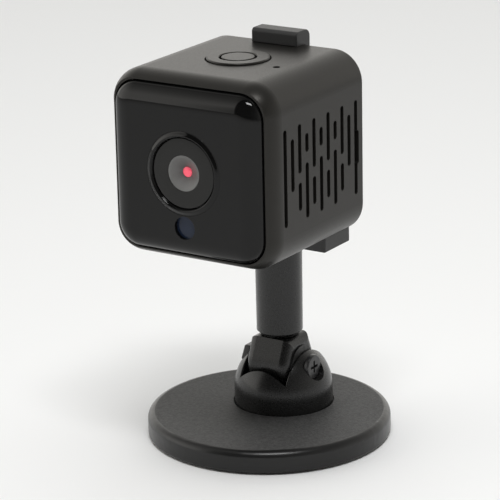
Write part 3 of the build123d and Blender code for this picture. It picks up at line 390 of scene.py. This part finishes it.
MATERIALS = {
    "body_plastic": plastic("body_satin", (0.009, 0.0085, 0.0075), (0.0115, 0.011, 0.010), (0.35, 0.40),
                            specular=0.34, tint=(1.0, 0.97, 0.92)),
    "stand_plastic": plastic("stand_satin", (0.022, 0.022, 0.022), (0.027, 0.027, 0.027), (0.42, 0.50)),
    "gloss_plastic": plastic("gloss", (0.003, 0.003, 0.003), (0.004, 0.004, 0.004), (0.04, 0.06),
                             grain=RIPPLE, depth=GLOSS_DEPTH, specular=0.26),
    "dial": plastic("dial_print", (0.010, 0.010, 0.0095), (0.012, 0.012, 0.011), (0.08, 0.12),
                    grain=RIPPLE, depth=GLOSS_DEPTH, specular=0.28),
    "black_steel": plain("black_plated_steel", (0.02, 0.02, 0.021), 0.35),
    # The cone's darker inner colour is painted shade towards its recessed pupil
    "lens_grey": painted_shade_cone("cone_grey_painted_shade", (0.118, 0.118, 0.116), (0.158, 0.158, 0.155)),
    # Painted glow: the red filter gives off light of its own, standing in for the glint reflected in it
    "red_glass": plain("red_filter_glass_painted_glow", (1.0, 0.11, 0.17), 0.2, glow=0.28),
    "lens_glass": plain("lens_glass_dark", (0.05, 0.05, 0.06), 0.05),
    "sensor_blue": plain("sensor_window_blue", (0.011, 0.018, 0.038), 0.12, specular=0.25),
    "steel": plain("plated_steel", (0.5, 0.5, 0.5), 0.3, metallic=1.0),
    "foam": plain("foam_black", (0.02, 0.02, 0.02), 0.9),
    "board": plain("board_green", (0.02, 0.09, 0.04), 0.45),
    "component": plain("component_black", (0.015, 0.015, 0.015), 0.5),
    "battery_wrap": plain("battery_silver", (0.5, 0.51, 0.53), 0.35, metallic=0.6),
    "flex": plain("flex_amber", (0.45, 0.22, 0.05), 0.3),
    "mesh": plain("mesh_black", (0.006, 0.006, 0.006), 0.9),
    "card": plain("card_black", (0.012, 0.012, 0.012), 0.4),
}

# Nodes whose finish differs from the others of their slot: the smoother arm pieces and the sandy disc
POLISHED = plastic("stand_polished", (0.009, 0.009, 0.009), (0.012, 0.012, 0.012), (0.26, 0.31),
                   depth=POLISHED_DEPTH, specular=0.45)
SANDY = sandy_disc("stand_sandy", (0.030, 0.030, 0.030), (0.062, 0.062, 0.062), (0.01, 0.01, 0.01))
OWN_FINISH = {"base_disc": SANDY, "swivel_hub": POLISHED, "knuckle": POLISHED, "arm_tube": POLISHED}
SLOT_OF = {part["node"]: part["material_slot"] for part in frame["record"]["subparts"]}
for name, node in NODES.items():
    node.data.materials.clear()
    node.data.materials.append(OWN_FINISH.get(name, MATERIALS[SLOT_OF[name]]))


# ---------------------------------------------------------------- mesh helpers

MERGE = 0.002 * MM
SHARP_FOLD = math.radians(40)
# Points nearer to the axis of a turned piece than this lie on it
ON_AXIS = 1e-6 * MM
CORNER_STEPS = 16
TURN_STEPS = 160
SOFTEN_STEPS = 6
# A softened corner takes at most this share of the line on either side
SOFTEN_REACH = 0.45
FILL_TOLERANCE_MM = 1e-6


def piece(name, mesh, node):
    """Puts a finished bmesh in the scene in place of a CAD node, on its body and with its finish."""
    bmesh.ops.remove_doubles(mesh, verts=mesh.verts, dist=MERGE)
    bmesh.ops.recalc_face_normals(mesh, faces=mesh.faces)
    for face in mesh.faces:
        face.smooth = True
    for edge in mesh.edges:
        edge.smooth = len(edge.link_faces) == 2 and edge.calc_face_angle() < SHARP_FOLD
    data = bpy.data.meshes.new(name)
    mesh.to_mesh(data)
    mesh.free()
    data.materials.append(MATERIALS[SLOT_OF[node]])
    made = bpy.data.objects.new(name, data)
    bpy.context.scene.collection.objects.link(made)
    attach(made, NODES[node]["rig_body"])
    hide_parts(node)
    return made


def rounded_outline(width, height, radius, steps=CORNER_STEPS):
    """Points (x, z) round a rectangle with rounded corners, the same number whatever its size."""
    points = []
    for corner in range(4):
        side_x = 1 if corner in (0, 3) else -1
        side_z = 1 if corner in (0, 1) else -1
        for step in range(steps + 1):
            angle = math.pi / 2 * (corner + step / steps)
            points.append((side_x * (width / 2 - radius) + radius * math.cos(angle),
                           side_z * (height / 2 - radius) + radius * math.sin(angle)))
    return points


def circle_outline(radius, steps, up=0.0):
    """Points (x, z) round a circle whose middle is this far up."""
    return [(radius * math.cos(2 * math.pi * k / steps), up + radius * math.sin(2 * math.pi * k / steps))
            for k in range(steps)]


def add_loop(mesh, outline, y, centre):
    """A closed loop of vertices in a plane across Y, from points (x, z) about the centre."""
    return [mesh.verts.new((centre.x + x, y, centre.z + z)) for x, z in outline]


def bridge(mesh, loops):
    """Quads between neighbouring loops of equal length."""
    for near, far in zip(loops, loops[1:]):
        for k in range(len(near)):
            following = (k + 1) % len(near)
            mesh.faces.new((near[k], near[following], far[following], far[k]))


def fill_between(mesh, outer, holes):
    """A flat face across Y between a convex outer loop and round holes, each (loop, x, z, inner radius)."""
    verts, edges = [], []
    for loop in [outer] + [hole[0] for hole in holes]:
        first = len(verts)
        verts += loop
        edges += [(first + k, first + (k + 1) % len(loop)) for k in range(len(loop))]
    flat = [Vector((vert.co.x, vert.co.z)) / MM for vert in verts]
    _, _, faces, origins, _, _ = delaunay_2d_cdt(flat, edges, [], 0, FILL_TOLERANCE_MM)
    for face in faces:
        corners = [origins[k][0] for k in face]
        centre = sum((flat[k] for k in corners), Vector((0, 0))) / 3
        if all((centre - Vector((x, z)) / MM).length > radius / MM for _, x, z, radius in holes):
            mesh.faces.new([verts[k] for k in corners])


def turned(name, node, profile, centre, steps=TURN_STEPS):
    """A solid turned about an axis along Y: the profile is a closed list of (radius, y)."""
    mesh = bmesh.new()
    rings = []
    for radius, y in profile:
        if radius < ON_AXIS:
            rings.append([mesh.verts.new((centre.x, y, centre.z))])
        else:
            rings.append(add_loop(mesh, circle_outline(radius, steps), y, centre))
    for near, far in zip(rings, rings[1:] + rings[:1]):
        if len(near) == 1 and len(far) == 1:
            continue
        if len(near) > 1 and len(far) > 1:
            bridge(mesh, [near, far])
            continue
        tip, ring = (near[0], far) if len(near) == 1 else (far[0], near)
        for k in range(steps):
            mesh.faces.new((tip, ring[(k + 1) % steps], ring[k]))
    piece(name, mesh, node)


def soften(points, radius, steps=SOFTEN_STEPS):
    """The open polyline of (r, y) points with each inner corner rounded by a small curve."""
    softened = [points[0]]
    for before, corner, after in zip(points, points[1:], points[2:]):
        ends = []
        for other in (before, after):
            reach = Vector(other) - Vector(corner)
            ends.append(Vector(corner) + reach.normalized() * min(radius, reach.length * SOFTEN_REACH))
        for step in range(steps + 1):
            t = step / steps
            blend = ends[0] * (1 - t) ** 2 + Vector(corner) * 2 * t * (1 - t) + ends[1] * t ** 2
            softened.append(tuple(blend))
    softened.append(points[-1])
    return softened


# ---------------------------------------------------------------- pieces with eased edges

EASED_FOLD = math.radians(50)
FLAT_FOLD = math.radians(0.3)
EASING_STEPS = 4
CAD_MERGE = 0.001 * MM
# Name of the piece, node, easing and the shortest edge that gets it
EASED = (("bracket_eased", "camera_bracket", 0.25 * MM, 2.0 * MM),
         ("hinge_nut_eased", "hinge_nut", 0.25 * MM, 1.0 * MM),
         ("hinge_screw_eased", "hinge_screw", 0.12 * MM, 0.15 * MM))


def make_eased(name, node, easing, shortest):
    """The CAD node's own shape with its long sharp outer edges rounded a little."""
    mesh = bmesh.new()
    mesh.from_mesh(NODES[node].data)
    mesh.transform(NODES[node].matrix_world)
    bmesh.ops.remove_doubles(mesh, verts=mesh.verts, dist=CAD_MERGE)
    bmesh.ops.dissolve_limit(mesh, angle_limit=FLAT_FOLD, verts=mesh.verts, edges=mesh.edges)
    sharp = [edge for edge in mesh.edges if len(edge.link_faces) == 2 and edge.is_convex
             and edge.calc_face_angle() > EASED_FOLD and edge.calc_length() > shortest]
    bmesh.ops.bevel(mesh, geom=sharp, offset=easing, offset_type="OFFSET", segments=EASING_STEPS, profile=0.5,
                    affect="EDGES", clamp_overlap=False, miter_outer="ARC")
    made = piece(name, mesh, node)
    made.modifiers.new("weights", "WEIGHTED_NORMAL").keep_sharp = True
    evaluated = made.evaluated_get(bpy.context.evaluated_depsgraph_get())
    made.data = bpy.data.meshes.new_from_object(evaluated)
    made.modifiers.clear()


for facts in EASED:
    make_eased(*facts)


# ---------------------------------------------------------------- front panel

PANEL_CORNER_R = 5.0 * MM
# The edges fall away in a quarter of an ellipse, and at the bottom edge only this share as far across
PANEL_ROUND_ACROSS = 4.2 * MM
PANEL_ROUND_DEEP = 2.6 * MM
PANEL_BOTTOM_SHARE = 0.8
PANEL_ROUND_STEPS = 20
PANEL_FLAT_BORDER = 0.03 * MM
PANEL_THICK = 1.8 * MM
PANEL_WALL = 1.4 * MM
RING_CLEARANCE = 0.02 * MM
HOLE_RIM = 0.06 * MM
HOLE_STEPS = 96


def panel_holes(centre):
    """Radius and height above the centre of the ring's hole and of the sensor window's."""
    ring = middle(*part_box("lens_ring"))
    eye = middle(*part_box("sensor_window"))
    return [(radius_of("lens_ring") + RING_CLEARANCE, ring.z - centre.z),
            (radius_of("sensor_window"), eye.z - centre.z)]


def make_front_panel():
    """Glossy moulded cover: a flat face whose edges fall away in a long curve, with two round holes."""
    low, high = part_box("front_panel")
    centre = middle(low, high)
    width, height = high.x - low.x, high.z - low.z
    front, back = low.y, high.y
    mesh = bmesh.new()
    loops = [add_loop(mesh, rounded_outline(width, height, PANEL_CORNER_R), back, centre)]
    quarter = [math.pi / 2 * step / PANEL_ROUND_STEPS for step in range(PANEL_ROUND_STEPS + 1)]
    curve = [(PANEL_ROUND_ACROSS * (1 - math.cos(angle)), PANEL_ROUND_DEEP * (1 - math.sin(angle)))
             for angle in quarter]
    for inset, depth in curve + [(PANEL_ROUND_ACROSS + PANEL_FLAT_BORDER, 0.0)]:
        below = inset * PANEL_BOTTOM_SHARE
        outline = rounded_outline(width - 2 * inset, height - inset - below, PANEL_CORNER_R - inset)
        lowered = [(x, z - (inset - below) / 2) for x, z in outline]
        loops.append(add_loop(mesh, lowered, front + depth, centre))
    bridge(mesh, loops)
    inner = rounded_outline(width - 2 * PANEL_WALL, height - 2 * PANEL_WALL, PANEL_CORNER_R - PANEL_WALL)
    inner_loops = [add_loop(mesh, inner, y, centre) for y in (back, front + PANEL_THICK)]
    bridge(mesh, [loops[0]] + inner_loops)
    front_holes, back_holes = [], []
    # The middles of a hole's chords are this much nearer to its axis than its corners
    inner_share = math.cos(math.pi / HOLE_STEPS)
    for radius, up in panel_holes(centre):
        wall = []
        for widening, depth in soften([(HOLE_RIM, 0.0), (0.0, 0.0), (0.0, PANEL_THICK)], HOLE_RIM / 2):
            outline = circle_outline(radius + widening, HOLE_STEPS, up)
            wall.append(add_loop(mesh, outline, front + depth, centre))
        bridge(mesh, wall)
        front_holes.append((wall[0], centre.x, centre.z + up, (radius + HOLE_RIM) * inner_share))
        back_holes.append((wall[-1], centre.x, centre.z + up, radius * inner_share))
    fill_between(mesh, loops[-1], front_holes)
    fill_between(mesh, inner_loops[-1], back_holes)
    piece("front_panel_shell", mesh, "front_panel")


make_front_panel()


# ---------------------------------------------------------------- lens

# The ring's section, measured in from its outer wall: a foot on the panel's face, then the crest
RING_RELIEF = 0.02 * MM
RING_FOOT = 0.2 * MM
RING_SLOPE = 0.75 * MM
# Measured out from its bore, which clears the dial: the crest again, then a draft that starts below the face
RING_INNER_SLOPE = 0.32 * MM
RING_BORE_DRAFT = 0.03 * MM
RING_BORE_STEP = 0.3 * MM
DIAL_CLEARANCE = 0.08 * MM
RING_SOFTENING = 0.35 * MM
# The inner radius of the shelf that the dial sits on
SHELF_R = 6.4 * MM

DIAL_SOFTENING = 0.1 * MM
CONE_CLEARANCE = 0.03 * MM

# The cone steps down to the pupil in baffles, each with a small tread
BAFFLES = 5
CONE_LIP = 0.12 * MM
TREAD_ACROSS = 0.03 * MM
TREAD_DEEP = 0.035 * MM

PUPIL_BULGE = 0.25 * MM
PUPIL_ARC_STEPS = 8
PUPIL_TURN_STEPS = 64


def make_ring(centre):
    """The glossy raised ring round the dial."""
    low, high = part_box("lens_ring")
    outer = radius_of("lens_ring")
    crest, back = low.y, high.y
    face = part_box("front_panel")[0].y
    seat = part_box("lens_dial")[1].y
    bore = radius_of("lens_dial") + DIAL_CLEARANCE
    wall = [(outer, back), (outer, face + RING_RELIEF)]
    top = [(outer - RING_RELIEF, face), (outer - RING_FOOT, face), (outer - RING_SLOPE, crest),
           (bore + RING_INNER_SLOPE, crest), (bore + RING_BORE_DRAFT, face + RING_BORE_STEP), (bore, seat)]
    shelf = [(SHELF_R, seat), (SHELF_R, back)]
    turned("lens_ring_gloss", "lens_ring", wall + soften(top, RING_SOFTENING) + shelf, centre)


def make_dial(centre):
    """The printed disc between the ring and the cone."""
    low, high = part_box("lens_dial")
    radius = radius_of("lens_dial")
    hole = radius_of("lens_cone") + CONE_CLEARANCE
    section = [(hole, high.y), (hole, low.y), (radius, low.y), (radius, high.y)]
    turned("lens_dial_print", "lens_dial", soften(section, DIAL_SOFTENING), centre)


def make_cone(centre):
    """The pale cone, stepped like the baffles of a lens."""
    low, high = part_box("lens_cone")
    radius = radius_of("lens_cone")
    pupil = radius_of("red_filter")
    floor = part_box("red_filter")[0].y
    section = [(pupil, high.y)]
    for number in range(BAFFLES + 1):
        share = number / BAFFLES
        step_radius = pupil + (radius - CONE_LIP - pupil) * share
        depth = floor + (low.y - floor) * share
        section.append((step_radius, depth))
        if number < BAFFLES:
            section.append((step_radius + TREAD_ACROSS, depth - TREAD_DEEP))
    section += [(radius, low.y), (radius, high.y)]
    turned("lens_cone_stepped", "lens_cone", section, centre)


def make_pupil(centre):
    """The red filter, with a slightly domed front."""
    low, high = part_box("red_filter")
    radius = radius_of("red_filter")
    section = [(0.0, high.y), (radius, high.y)]
    for step in range(PUPIL_ARC_STEPS + 1):
        angle = math.pi / 2 * step / PUPIL_ARC_STEPS
        section.append((radius * math.cos(angle), low.y - PUPIL_BULGE * math.sin(angle)))
    turned("red_pupil", "red_filter", section, centre, steps=PUPIL_TURN_STEPS)


LENS_CENTRE = middle(*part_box("lens_ring"))
for make in (make_ring, make_dial, make_cone, make_pupil):
    make(LENS_CENTRE)
